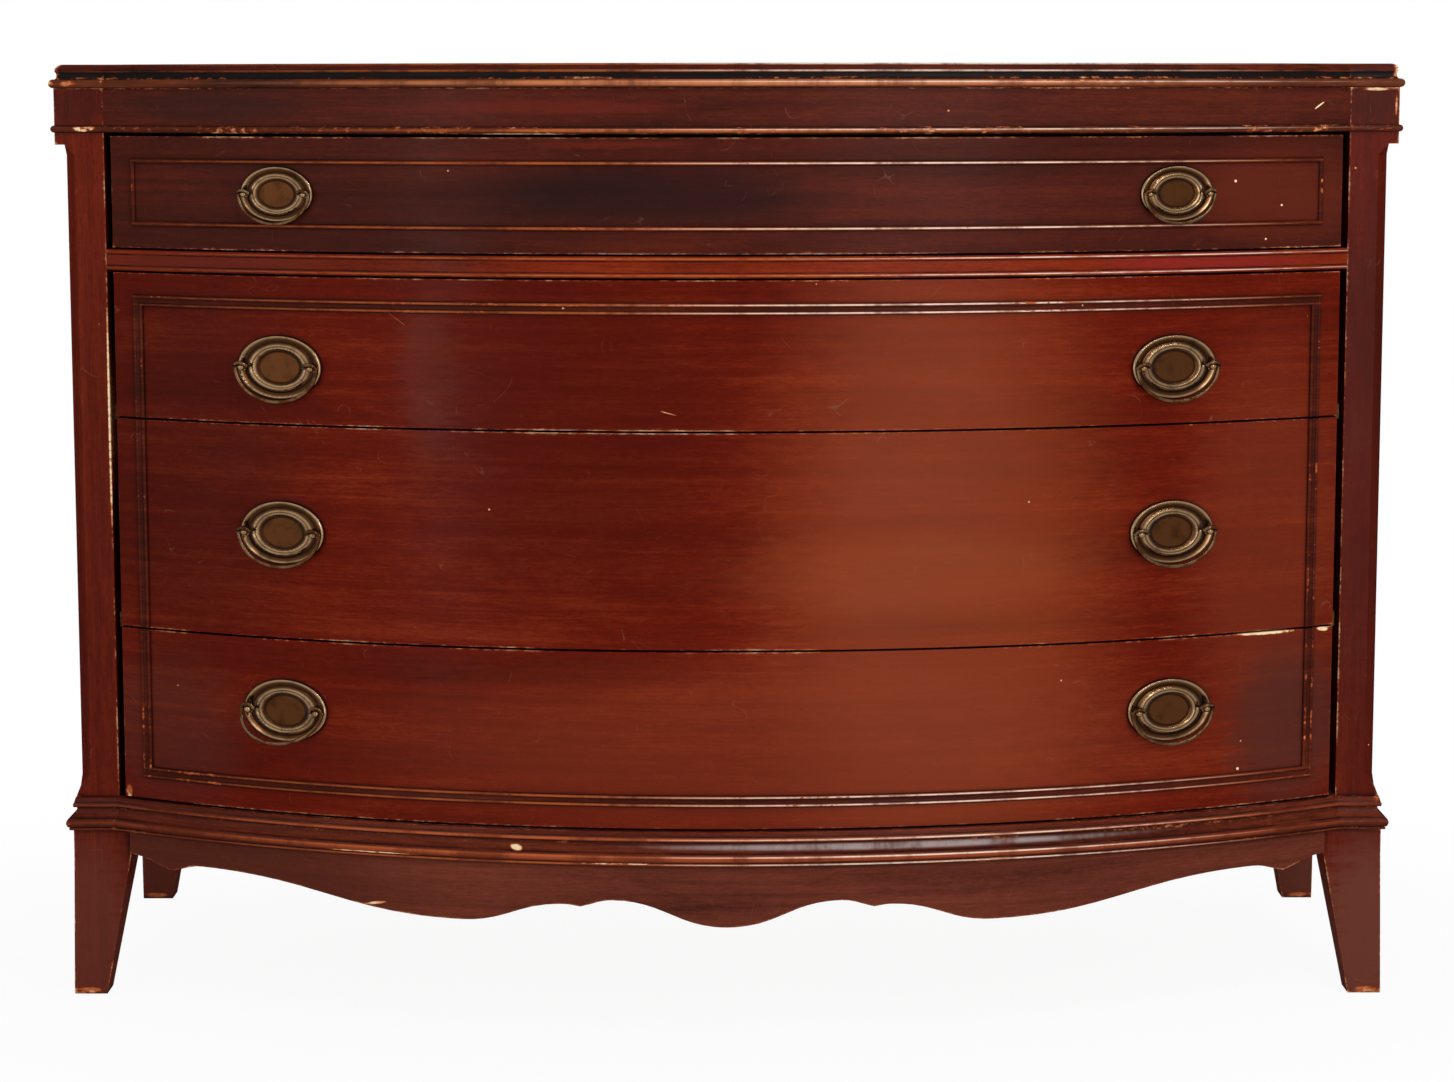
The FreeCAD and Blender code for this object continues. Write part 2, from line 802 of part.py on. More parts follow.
def bail(size, swing):
    """A hanging wire with a curl over each ball and a pin into it, swung out by an angle."""
    out = hinge_out * size
    half = post_spacing * size / 2
    wire = wire_radius * size
    curl = curl_radius * size
    reach = half + curl
    drop = bail_drop * size
    oval = Part.Ellipse(Vector(reach, 0, out), Vector(0, -drop, out), Vector(0, 0, out))
    start = oval.parameter(Vector(reach, 0, out))
    path = oval.toShape(start, start + math.pi)
    first = path.valueAt(path.FirstParameter)
    ring = Part.makeCircle(wire, first, path.tangentAt(path.FirstParameter))
    pieces = [Part.Wire([path]).makePipeShell([Part.Wire([ring])], True, False)]
    lean = math.radians(curl_lean_angle)
    rise = Vector(0, math.cos(lean), math.sin(lean))
    for side in (-1, 1):
        eye = Vector(side * half, 0, out)
        knuckle = Vector(side * reach, 0, out)
        face = Part.Face(Part.Wire([Part.makeCircle(wire, knuckle, rise)]))
        turn = Vector(side, 0, 0).cross(rise)
        pieces.append(face.revolve(eye, turn, curl_turn_angle))
        tip = FreeCAD.Rotation(turn, curl_turn_angle).multVec(knuckle - eye) + eye
        pieces.append(Part.makeSphere(curl_tip_radius * size, tip))
        pieces.append(Part.makeSphere(knuckle_radius * size, knuckle))
        pieces.append(Part.makeCylinder(pin_radius, curl, knuckle, Vector(-side, 0, 0)))
    whole = fused(pieces)
    whole.rotate(Vector(0, 0, out), Vector(1, 0, 0), -swing)
    return whole


def placed(shape, spot):
    """A pull's piece set on the drawer front."""
    piece = shape.copy()
    piece.Placement = spot.multiply(piece.Placement)
    return piece


def drawer(number, z0, z1):
    """All pieces of one drawer, by name."""
    plain = bow_band(0, front_thick, z0, z1, drawer_half)
    low = z0 + side_lift
    high = z1 - side_drop
    bottom = drawer_bottom(z0)
    back = drawer_back(z0, z1)
    tails = Part.makeCompound(dovetails(low, high)).common(plain)
    side = block(side_in_x, side_out_x, face_y + tail_lap, box_end_y, low, high).cut(plain)
    side = fused([side] + tails.Solids).cut(bottom).cut(back)
    front = plain.cut(bottom).cut(Part.makeCompound(both(tails)))
    size = small_pull_share if number == 1 else 1
    frame, middle = front_moulding(number, z0, z1)
    plates = []
    posts = []
    pieces = {}
    for name, side_sign in (("left", -1), ("right", 1)):
        spot = local_frame(side_sign * pull_x, 0, middle)
        plates.append(placed(plate(size), spot))
        for end in (-1, 1):
            posts += [placed(piece, spot) for piece in pull_post(size, end)]
            front = front.cut(placed(post_shank(size, end, shank_clear), spot))
        swing = swung_bail_angle if (number, name) == swung_bail else 0
        pieces[name + "_bail"] = placed(bail(size, swing), spot)
    pieces["front"] = front
    pieces["moulding"] = frame
    pieces["sides"] = Part.makeCompound(both(side))
    pieces["back"] = back
    pieces["bottom"] = bottom
    pieces["backplates"] = Part.makeCompound(plates)
    pieces["pull_posts"] = Part.makeCompound(posts)
    return {"drawer_%d_%s" % (number, name): shape for name, shape in pieces.items()}


def case():
    """All fixed pieces, by name."""
    levels, rail = drawer_levels()
    frieze = bow_band(0, frieze_thick, opening_top, frame_top, post_in_x)
    frieze = tenoned(frieze, opening_top, frame_top, rail_tenon_set)
    divider = divider_rail(*rail)
    bottom_rail = bow_band(0, rail_depth, leg_height, base_top, post_in_x)
    bottom_rail = tenoned(bottom_rail, leg_height, base_top, rail_tenon_set)
    blades = [blade(z0) for z0, z1 in levels[1:-1]]
    back_levels = (leg_height, frame_top - back_rail_height)
    back_rails = [back_rail(z) for z in back_levels]
    panel = side_panel()
    cross = Part.makeCompound([frieze, divider, bottom_rail, panel] + blades)
    front = front_post().cut(cross)
    rear = rear_post().cut(Part.makeCompound(back_rails + [panel]))
    rails = [side_top_rail().cut(panel), side_bottom_rail().cut(panel).cut(front).cut(rear)]
    runners = [runner(z0).cut(cross).cut(rails[1]) for z0, z1 in levels]
    stops = [drawer_stop(z0) for z0, z1 in levels]
    top_screws = cleat_screws()
    panel_screws = back_screws([z + back_rail_height / 2 for z in back_levels])
    all_screws = Part.makeCompound(top_screws + panel_screws)
    far = back_y - back_panel_in
    back_panel = block(-post_in_x, post_in_x, far - back_panel_thick, far, leg_height, frame_top)
    top_bead = bead_points(-top_lip_depth, top_bead_out, frame_top, edge_bottom)
    return {
        "top_board": top_board().cut(all_screws),
        "top_edge_moulding": moulding(top_edge_points(), post_out_x),
        "top_bead": moulding(top_bead, post_out_x),
        "frieze_rail": frieze,
        "frieze_bead": moulding(bead_points(0, frieze_bead_out, opening_top, frieze_bottom), post_out_x),
        "front_left_post": mirrored(front),
        "front_right_post": front,
        "rear_left_post": mirrored(rear),
        "rear_right_post": rear,
        "left_side_panel": mirrored(panel),
        "right_side_panel": panel,
        "side_rails": Part.makeCompound(both(rails[0]) + both(rails[1])),
        "back_panel": back_panel.cut(all_screws),
        "back_rails": Part.makeCompound(back_rails).cut(all_screws),
        "divider_rail": divider,
        "drawer_blades": Part.makeCompound(blades),
        "bottom_rail": bottom_rail,
        "base_moulding": moulding(base_points(), shaft_x),
        "front_apron": apron(),
        "glue_blocks": glue_blocks(),
        "drawer_runners": Part.makeCompound([piece for each in runners for piece in both(each)]),
        "drawer_stops": Part.makeCompound([piece for each in stops for piece in both(each)]),
        "top_cleats": Part.makeCompound(both(cleat())).cut(all_screws),
        "screws": all_screws,
    }


parts = case()
for index, (bottom_z, top_z) in enumerate(drawer_levels()[0]):
    parts.update(drawer(index + 1, bottom_z, top_z))
os.makedirs("parts", exist_ok=True)
for node, shape in parts.items():
    shape.exportStep("parts/%s.step" % node)
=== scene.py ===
import math
from collections import namedtuple

import bpy
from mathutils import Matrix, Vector


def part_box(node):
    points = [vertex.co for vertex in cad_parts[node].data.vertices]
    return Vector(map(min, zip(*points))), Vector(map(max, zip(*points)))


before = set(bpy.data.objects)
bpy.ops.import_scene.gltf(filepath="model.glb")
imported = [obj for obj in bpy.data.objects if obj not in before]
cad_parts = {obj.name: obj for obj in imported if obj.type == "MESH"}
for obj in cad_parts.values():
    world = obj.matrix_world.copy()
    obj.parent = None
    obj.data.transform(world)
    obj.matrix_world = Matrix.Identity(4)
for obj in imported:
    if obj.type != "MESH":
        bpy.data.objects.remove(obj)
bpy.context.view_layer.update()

# A lamp: where it stands and aims, its width and height in metres, and its radiance
Lamp = namedtuple("Lamp", "place target size radiance")

# A layer of wood grain: its length and width in metres, and the noise that it is made of
Layer = namedtuple("Layer", "length width detail roughness distortion")

# A noise: its size along x, y and z in metres, and its settings
Noise = namedtuple("Noise", "size detail roughness distortion", defaults=(0.0,))

# A soft oval on the front: its place and half sizes in metres, its strength and its turn in degrees
Mark = namedtuple("Mark", "x z half_length half_height strength turn", defaults=(0,))

# Further than any pattern reaches, in metres
far = 1e6

# The view, in metres, degrees and millimetres of lens
camera_place = (0.0003, -3.3122, 0.8491)
camera_tilt = 7.453
camera_roll = 0.05
camera_lens = 85.3
sensor_width = 36.0

# The floor and the fill: lengths in metres, and the share of white out from the chest
floor_half = 12.0
floor_colour = (0.85, 0.85, 0.85, 1.0)
floor_fade_size = (1.5, 1.0, 1.0)
floor_fade = (0.25, 1.0, 0.93, 1.0)
fill_level = 0.40

# The lamps
studio_lamps = {
    "right_lamp": Lamp((0.74, -1.80, 0.81), (0.25, -0.2, 0.81), (0.70, 1.5), 2.8),
    "left_lamp": Lamp((-1.16, -1.75, 0.76), (-0.3, -0.2, 0.76), (0.2, 1.4), 4.5),
    "left_fill": Lamp((-2.0, -1.4, 0.9), (-0.4, -0.2, 0.5), (1.0, 1.4), 0.5),
    "high_strip": Lamp((1.0, -1.15, 2.4), (0.3, -0.2, 0.4), (2.2, 0.03), 40.0),
    "key_lamp": Lamp((1.1, -2.3, 1.9), (0.0, -0.3, 0.5), (0.7, 0.7), 7.5),
    "top_lamp": Lamp((0.0, -0.6, 2.7), (0.0, -0.1, 0.8), (2.6, 1.8), 0.25),
    "back_lamp": Lamp((0.0, 3.0, 1.6), (0.0, 0.3, 0.5), (2.4, 1.6), 1.0),
}

# The bow that the front follows, in metres
bow_radius = 1.1303
bow_axis_y = 0.8508
veneer_depth = 0.019

# Wood grain; strips that run along the front and the sides have it turned halfway, in degrees
cloud_layer = Layer(0.42, 0.085, 4.0, 0.6, 0.8)
streak_layer = Layer(0.50, 0.010, 6.0, 0.6, 0.6)
fleck_layer = Layer(0.030, 0.0016, 3.0, 0.6, 0.3)
mottle_layer = Layer(0.011, 0.0042, 4.0, 0.7, 1.2)
pore_layer = Layer(0.014, 0.0008, 2.0, 0.6, 0.0)
layer_shares = ((cloud_layer, 0.36), (streak_layer, 0.26), (fleck_layer, 0.2), (mottle_layer, 0.18))
tone_places = (0.36, 0.5, 0.64)
strip_turn = 45.0

# How far edges wear and how far painted shade reaches into hollows, in metres, and the rays that feel for
# them
edge_reach = 0.0032
moulding_reach = 0.0048
rail_reach = 0.003
hollow_shade_reach = 0.0045
metal_hollow_shade_reach = 0.003
wood_rays = 4
metal_rays = 8

# How worn each finish is
plain_wear = 0.3
top_wear = 0.35
post_wear = 0.36
rail_wear = 0.34
moulding_wear = 0.1
small_bead_wear = 0.0

# What wear is made of
patch_noise = Noise((0.11, 0.11, 0.035), 2.0, 0.6)
chip_noise = Noise((0.008, 0.004, 0.004), 4.0, 0.65)
patch_share = 1.5
chip_share = 1.7
sound_level = 1.6
speck_share = 0.75
torn_share = 1.6
torn_least = 0.2
worn_places = (0.34, 0.62, 0.98)

# Chips scattered over the faces, in metres
speck_pitch = 0.042
speck_radius = 0.0008
speck_edge = 0.00128
speck_noise = Noise((0.0546, 0.0546, 0.0546), 2.0, 0.5)
speck_level = 0.54

# Hairlines, where a swirling noise is at its middle
swirl_noise = Noise((0.055, 0.055, 0.055), 1.0, 0.4, 1.4)
swirl_middle = 0.5
scratch_gap_noise = Noise((0.03, 0.03, 0.02), 3.0, 0.6)
scratch_share = 0.22

# Patches of stain and of painted light and shade are torn by a noise that shifts them, in metres
tear_noise = Noise((0.03, far, 0.006), 5.0, 0.65)
tear_shift = (0.09, 0.0, 0.014)

# Other noises
line_gap_noise = Noise((0.05, 0.05, far), 5.0, 0.7)
haze_noise = Noise((0.11, 0.11, 0.05), 4.0, 0.6)
wave_noise = Noise((0.05, 0.05, 0.03), 2.0, 0.5)
handling_noise = Noise((0.18, 0.18, 0.1), 5.0, 0.65)
tarnish_noise = Noise((0.014, 0.014, 0.014), 5.0, 0.65)
fine_noise = Noise((0.0016, 0.0016, 0.0016), 3.0, 0.6)

# Fades: the values between which something comes or goes, and mostly how much there is of it at both
mark_fade = (0.35, 1.0)
crest_fade = (0.0013, 0.0026)
gone_fade = (0.3, 0.42)
scratch_fade = (0.0, 0.006, 1.0, 0.0)
scratch_gap_fade = (0.55, 0.68)
line_gap_fade = (0.38, 0.56, 0.3, 1.0)
pore_fade = (0.58, 0.72, 0.0, 0.45)
hollow_shade_fade = (0.45, 0.95, 0.8, 0.0)
haze_fade = (0.3, 0.7, 0.2, 0.34)
handling_fade = (0.5, 0.75, 0.0, 0.45)
bare_roughness_fade = (0.2, 0.8, 0.55, 0.78)
tarnish_fade = (0.45, 0.75, 0.0, 0.6)
tarnish_roughness_fade = (0.25, 0.75)
metal_hollow_shade_fade = (0.2, 0.75, 0.85, 0.0)

# Sheen
gloss_share = 0.003
matte_roughness = 0.7
worn_roughness = 0.3
bare_specular = 0.1
brass_roughness = 0.14
post_brass_roughness = 0.12
steel_roughness = 0.3
tarnish_roughness = 0.12

# Relief: heights in metres, and the shares of pores and wear in it
lacquer_relief = 0.0005
bare_relief = 0.0003
metal_relief = 0.0002
wood_bump = 0.4
metal_bump = 0.05
pore_relief_share = 0.06
worn_relief_share = -0.25

# Tones on a screen, as the dark, middle and light of each finish
panel_tones = ((68, 13, 4), (98, 21, 6), (128, 44, 18))
drawer_tones = ((50, 18, 12), (70, 26, 18), (94, 35, 20))
frieze_tones = ((50, 20, 14), (79, 31, 21), (106, 42, 25))
moulding_tones = ((40, 13, 8), (74, 25, 14), (112, 44, 24))
small_bead_tones = ((46, 18, 11), (88, 37, 21), (136, 70, 38))
lip_bead_tones = ((52, 23, 14), (104, 50, 29), (158, 88, 50))
base_tones = ((44, 15, 10), (86, 32, 19), (126, 56, 32))
post_tones = ((58, 16, 9), (92, 25, 12), (118, 40, 20))
rail_tones = ((78, 22, 10), (122, 38, 15), (150, 58, 26))
apron_tones = ((66, 28, 19), (100, 46, 32), (124, 60, 42))
top_tones = ((58, 18, 12), (90, 30, 18), (120, 48, 28))
pale_tones = ((150, 112, 68), (186, 148, 98), (214, 180, 130))
back_tones = ((112, 78, 46), (146, 106, 66), (172, 132, 88))
worn_tones = ((126, 46, 25), (192, 104, 54), (250, 224, 180))
brass_tones = ((26, 16, 9), (78, 46, 24), (150, 124, 92))
post_brass_tones = ((60, 42, 26), (128, 98, 64), (196, 166, 124))
steel_tones = ((70, 70, 72), (110, 110, 112), (140, 140, 142))

# Tones of hairlines, of painted highlight, reflection and shadow lines, and of painted shade in the
# hollows
scratch_tone = (150, 104, 88)
hollow_shade_tone = (16, 9, 8)
shadow_black_tone = (24, 20, 21)
orange_glint_tone = (188, 98, 50)
white_glint_tone = (240, 224, 206)
lip_bead_orange_glint = (204, 124, 80)
base_orange_glint = (164, 76, 44)
base_reflection_tone = (186, 170, 166)

# Tones of stains, and of painted light and shade on the lower drawer fronts
frieze_warm = (100, 35, 24)
frieze_dark = (44, 27, 25)
rail_red = (136, 33, 36)
rail_dull = (98, 36, 25)
post_head_dark = (52, 22, 17)
post_shaft_dark = (66, 18, 9)
leg_dusty = (108, 58, 45)
apron_dark = (74, 30, 20)
drawer_dark = (32, 20, 20)
drawer_edge_warm = (98, 34, 22)
drawer_end_warm = (112, 42, 25)
# Partly the wood's lighter figure and partly a painted reflection of lamp light
panel_figure_and_reflection = (152, 70, 36)
panel_warm = (126, 54, 32)
panel_end_dull = (78, 40, 32)
# Painted reflection of a lamp
panel_painted_reflection = (104, 46, 34)
# Painted shade, in the middle and at the left end
panel_painted_shade = (66, 12, 5)
panel_left_painted_shade = (52, 16, 11)

# Crests and quirks of mouldings, in from a piece's lower or upper edge, in metres
lip_quirk = 0.0040
lip_low_crest = 0.0068
lip_high_crest = 0.0006
field_crest = 0.0023
panel_crests = (0.0017, 0.0088)
rail_crest = 0.0022
rail_quirk = 0.0044
base_glints = (0.0015, 0.0087, 0.0235)
base_quirks = (0.0031, 0.0116, 0.0214, 0.0262)

# Half heights of the painted highlight and shadow lines along them, in metres
glint_half = 0.0009
rail_glint_half = 0.0007
rail_quirk_half = 0.0008
lip_quirk_half = 0.0026
small_bead_quirk_half = 0.0012

# A painted glint is orange along most of the front and whiter about one place, in metres
orange_x = 0.02
orange_half_length = 0.75
orange_widening = 1.7
orange_strength = 0.65
white_x = 0.19
rail_white_x = 0.34
white_half_length = 0.34
white_strength = 0.85
quirk_strength = 0.8

# Rings of a backplate: how far out each lies, and which of the brass tones it has; the light tone on the
# ridges is partly rubbed brass and partly painted highlight
plate_rings = (
    (0.00, 1),
    (0.44, 1),
    (0.49, 0),
    (0.55, 1),
    (0.60, 2),
    (0.635, 1),
    (0.68, 2),
    (0.73, 1),
    (0.79, 0),
    (0.89, 1),
    (0.95, 2),
    (1.00, 1),
)
tarnish_places = (0.2, 0.45, 0.8)
pull_x = 0.404
drawer_numbers = (1, 2, 3, 4)

# Marks on mouldings, with z up from the lower edge of the lip and the base and from the crest of a bead:
# painted shade, painted highlight lines, a painted reflection and worn chips
# Painted shade in the hollow of the lip
lip_hollow = [Mark(0.0, 0.0035, far, 0.0062, 0.95)]
# Painted shade at the left end of the lip bead
lip_bead_dark_end = [Mark(-0.42, 0.0, 0.08, 0.007, 0.7)]
# Painted highlight lines on the crest of the lip bead
lip_bead_orange_line = [Mark(0.03, 0.0004, 0.55, 0.0036, 0.85)]
lip_bead_white_line = [Mark(0.24, 0.0012, 0.40, 0.0008, 0.7)]
lip_bead_chip = [Mark(-0.604, 0.0, 0.012, 0.004, 0.5)]
# Painted highlight lines on the crest of the small bead
small_bead_orange_line = [Mark(0.0, 0.0, 0.45, 0.0022, 0.8)]
small_bead_white_line = [Mark(0.22, 0.0008, 0.42, 0.0008, 0.7)]
small_bead_chip = [Mark(-0.590, 0.0, 0.016, 0.0035, 0.6)]
# Painted highlight lines on the crests of the base
base_orange_lines = [Mark(0.0, 0.0073, 0.75, 0.0034, 0.8), Mark(0.0, 0.0235, 0.75, 0.0022, 0.8)]
# Painted reflection in the hollow of the base
base_reflection_line = [Mark(0.15, 0.0165, 0.28, 0.0038, 0.7)]

# Marks where the finish is gone, with z up from the floor
lip_bead_marks = [Mark(0.30, 0.8575, 0.09, 0.0012, 0.5)]
small_bead_marks = [Mark(-0.175, 0.8110, 0.065, 0.0009, 0.95)]
frieze_marks = [Mark(0.5414, 0.835, 0.0080, 0.0011, 1.4, -35)]
post_marks = [
    Mark(-0.5738, 0.545, 0.0016, 0.135, 0.8),
    Mark(0.597, 0.8495, 0.016, 0.0020, 0.7),
    Mark(0.6150, 0.835, 0.0015, 0.014, 0.7),
    Mark(-0.605, 0.004, 0.018, 0.004, 0.6),
    Mark(0.605, 0.004, 0.018, 0.004, 0.6),
]
base_marks = [
    Mark(-0.1901, 0.1732, 0.008, 0.0035, 1.1, 8),
    Mark(-0.325, 0.1632, 0.060, 0.0010, 0.9),
    Mark(-0.10, 0.1610, 0.050, 0.0010, 0.7),
]
apron_marks = [Mark(-0.32, 0.1145, 0.014, 0.0020, 0.8, -8)]
drawer_marks = [
    Mark(0.4602, 0.7674, 0.0018, 0.0018, 1.4),
    Mark(0.5057, 0.7451, 0.0015, 0.0015, 1.4),
    Mark(0.4906, 0.7145, 0.0014, 0.0014, 1.4),
]
panel_marks = [
    Mark(0.4980, 0.3515, 0.040, 0.0030, 1.0, 1),
    Mark(0.5558, 0.3500, 0.008, 0.0030, 1.0, 8),
    Mark(-0.5621, 0.1967, 0.005, 0.009, 0.6),
    Mark(-0.294, 0.6467, 0.019, 0.0007, 0.45, 36),
    Mark(-0.052, 0.566, 0.011, 0.0007, 0.8, 15),
    Mark(0.4725, 0.2259, 0.002, 0.002, 1.4),
]

# Stains, and on the lower drawer fronts also painted light and shade: a tone, and the soft ovals where it
# lies, with z up from the floor
frieze_stains = [
    (frieze_warm, [Mark(-0.16, 0.8352, 0.16, 0.0085, 0.75)]),
    (frieze_dark, [Mark(-0.47, 0.835, 0.12, 0.02, 0.5)]),
]
rail_stains = [
    (rail_red, [Mark(0.43, 0.694, 0.13, 0.010, 0.55)]),
    (rail_dull, [Mark(-0.48, 0.694, 0.16, 0.012, 0.8)]),
]
post_stains = [
    (post_head_dark, [Mark(x, 0.836, 0.05, 0.026, 0.6) for x in (-0.597, 0.597)]),
    (post_shaft_dark, [Mark(0.597, 0.50, 0.05, 0.36, 0.6)]),
    (leg_dusty, [Mark(-0.603, 0.06, 0.06, 0.13, 0.5), Mark(0.603, 0.06, 0.06, 0.13, 0.85)]),
]
apron_stains = [(apron_dark, [Mark(-0.46, 0.12, 0.24, 0.07, 0.7)])]
drawer_stains = [
    (drawer_dark, [Mark(-0.07, 0.757, 0.22, 0.036, 0.7)]),
    (drawer_edge_warm, [Mark(-0.10, 0.802, 0.09, 0.005, 0.75)]),
    (drawer_end_warm, [Mark(0.50, 0.757, 0.12, 0.06, 0.45)]),
]
panel_stains = [
    # Partly the wood's lighter figure and partly a painted reflection of lamp light
    (panel_figure_and_reflection, [Mark(0.19, 0.42, 0.21, 0.44, 0.42), Mark(0.16, 0.42, 0.24, 0.05, 0.2)]),
    (panel_warm, [Mark(0.05, 0.262, 0.50, 0.11, 0.4), Mark(0.50, 0.44, 0.11, 0.26, 0.4)]),
    (panel_end_dull, [Mark(-0.52, 0.26, 0.10, 0.10, 0.5), Mark(0.52, 0.26, 0.08, 0.11, 0.75)]),
    # Painted reflection of a lamp, as a soft pale band
    (panel_painted_reflection, [Mark(-0.265, 0.60, 0.035, 0.09, 0.5)]),
    # Painted shade, in the middle and at the left end
    (panel_painted_shade, [Mark(-0.14, 0.55, 0.20, 0.22, 0.55)]),
    (panel_left_painted_shade, [Mark(-0.50, 0.52, 0.16, 0.26, 0.45)]),
]


def linear(tone):
    """A screen tone as the linear colour that a shader takes."""
    shares = [channel / 255 for channel in tone]
    curve = [s / 12.92 if s <= 0.04045 else ((s + 0.055) / 1.055) ** 2.4 for s in shares]
    return curve + [1.0]


class Graph:
    """One material's nodes, added by small calls that return their sockets."""

    def __init__(self, name):
        self.material = bpy.data.materials.new(name)
        self.material.use_nodes = True
        self.tree = self.material.node_tree
        self.tree.nodes.clear()

    def put(self, socket, value):
        if isinstance(value, bpy.types.NodeSocket):
            self.tree.links.new(value, socket)
        else:
            socket.default_value = value

    def add(self, kind, settings=None, **inputs):
        node = self.tree.nodes.new(kind)
        for key, value in (settings or {}).items():
            setattr(node, key, value)
        for key, value in inputs.items():
            self.put(node.inputs[key.replace("_", " ")], value)
        return node

    def math(self, operation, *values):
        node = self.add("ShaderNodeMath", {"operation": operation})
        for socket, value in zip(node.inputs, values):
            self.put(socket, value)
        return node.outputs[0]

    def span(self, value, low, high, first=0.0, last=1.0):
        settings = {"interpolation_type": "SMOOTHSTEP"}
        node = self.add("ShaderNodeMapRange", settings, Value=value, From_Min=low, From_Max=high)
        self.put(node.inputs["To Min"], first)
        self.put(node.inputs["To Max"], last)
        return node.outputs[0]

    def coordinates(self):
        return self.add("ShaderNodeTexCoord").outputs["Object"]

    def mapped(self, vector, place=(0, 0, 0), size=(1, 1, 1), turn=(0, 0, 0)):
        """The vector in a frame at a place, turned, with its axes divided by sizes."""
        node = self.add("ShaderNodeMapping", {"vector_type": "TEXTURE"}, Vector=vector)
        node.inputs["Location"].default_value = place
        node.inputs["Rotation"].default_value = turn
        node.inputs["Scale"].default_value = size
        return node.outputs[0]

    def length(self, vector):
        node = self.add("ShaderNodeVectorMath", {"operation": "LENGTH"}, Vector=vector)
        return node.outputs["Value"]

    def noise(self, vector, kind, turn=(0, 0, 0), output=0):
        place = self.mapped(vector, size=kind.size, turn=turn)
        node = self.add("ShaderNodeTexNoise", None, Vector=place, Scale=1.0, Detail=kind.detail)
        self.put(node.inputs["Roughness"], kind.roughness)
        self.put(node.inputs["Distortion"], kind.distortion)
        return node.outputs[output]

    def ramp(self, factor, places, tones):
        node = self.add("ShaderNodeValToRGB", None, Fac=factor)
        elements = node.color_ramp.elements
        while len(elements) < len(places):
            elements.new(1.0)
        for element, place, tone in zip(elements, places, tones):
            element.position = place
            element.color = linear(tone)
        return node.outputs["Color"]

    def mix(self, factor, first, second):
        node = self.add("ShaderNodeMix", {"data_type": "RGBA"})
        for index, value in ((0, factor), (6, first), (7, second)):
            self.put(node.inputs[index], value)
        return node.outputs[2]

    def blend(self, share, first, second):
        """A first shader with a share of a second one."""
        node = self.add("ShaderNodeMixShader", None, Fac=share)
        self.put(node.inputs[1], first.outputs[0])
        self.put(node.inputs[2], second.outputs[0])
        return node

    def finish(self, shader):
        self.add("ShaderNodeOutputMaterial", None, Surface=shader.outputs[0])
        return self.material


def stretched(along, length, width, dropped):
    """How far a pattern reaches along each axis; along a dropped axis it doesn't change."""
    return [far if axis in dropped else length if axis == along else width for axis in "xyz"]


def spots(graph, vector, marks):
    """The sum of the strengths of soft oval marks."""
    total = 0.0
    for mark in marks:
        size = (mark.half_length, far, mark.half_height)
        near = graph.mapped(vector, (mark.x, 0, mark.z), size, (0, math.radians(mark.turn), 0))
        strength = graph.span(graph.length(near), *mark_fade, mark.strength, 0.0)
        total = graph.math("ADD", strength, total)
    return total


def ragged(graph, vector):
    """The vector with a small grain-wise unevenness, for patches with torn outlines."""
    moved = graph.add("ShaderNodeVectorMath", {"operation": "MULTIPLY_ADD"})
    graph.put(moved.inputs[0], graph.noise(vector, tear_noise, output="Color"))
    graph.put(moved.inputs[1], tear_shift)
    graph.put(moved.inputs[2], vector)
    return graph.mapped(moved.outputs[0], [shift / 2 for shift in tear_shift])


def grain(graph, vector, tones, along, dropped="", turn=0.0):
    """Wood colour from clouds, streaks, flecks, mottle and pores; also the pore pattern."""
    turned = (0, 0, math.radians(turn))

    def pattern(layer):
        size = stretched(along, layer.length, layer.width, dropped)
        return graph.noise(vector, Noise(size, layer.detail, layer.roughness, layer.distortion), turned)

    tone = 0.0
    for layer, share in layer_shares:
        tone = graph.math("MULTIPLY_ADD", pattern(layer), share, tone)
    pores = pattern(pore_layer)
    colour = graph.ramp(tone, tone_places, tones)
    return graph.mix(graph.span(pores, *pore_fade), colour, linear(tones[0])), pores


def with_patches(graph, vector, colour, stains):
    """The colour with soft patches: tones, each with its marks; stains, and on some pieces painted light
    and shade.
    """
    torn = ragged(graph, vector)
    for tone, marks in stains:
        colour = graph.mix(spots(graph, torn, marks), colour, linear(tone))
    return colour


def scratched(graph, vector, colour):
    """The colour with fine curved hairlines in broken lengths."""
    swirl = graph.noise(vector, swirl_noise)
    away = graph.math("ABSOLUTE", graph.math("SUBTRACT", swirl, swirl_middle))
    broken = graph.span(graph.noise(vector, scratch_gap_noise), *scratch_gap_fade)
    lines = graph.math("MULTIPLY", graph.span(away, *scratch_fade), broken)
    return graph.mix(graph.math("MULTIPLY", lines, scratch_share), colour, linear(scratch_tone))


def darkened_in_hollows(graph, colour, tone, reach, fade, rays):
    """The colour with painted shade: darkened in the hollows that ambient occlusion finds."""
    hollow = graph.add("ShaderNodeAmbientOcclusion", {"samples": rays}, Distance=reach)
    return graph.mix(graph.span(hollow.outputs["AO"], *fade), colour, linear(tone))


def lined(graph, vector, colour, lines):
    """The colour with fine broken painted highlight and shadow lines along a moulding: tones, each with
    its marks.
    """
    kept = graph.span(graph.noise(vector, line_gap_noise), *line_gap_fade)
    for tone, marks in lines:
        strength = graph.math("MULTIPLY", spots(graph, vector, marks), kept)
        colour = graph.mix(strength, colour, linear(tone))
    return colour


def glints(heights, half=glint_half, white_at=white_x):
    """Painted highlight lines along crests: orange for most of the width, whiter about one place."""
    orange_half = orange_widening * half
    orange = [Mark(orange_x, z, orange_half_length, orange_half, orange_strength) for z in heights]
    white = [Mark(white_at, z, white_half_length, half, white_strength) for z in heights]
    return [(orange_glint_tone, orange), (white_glint_tone, white)]


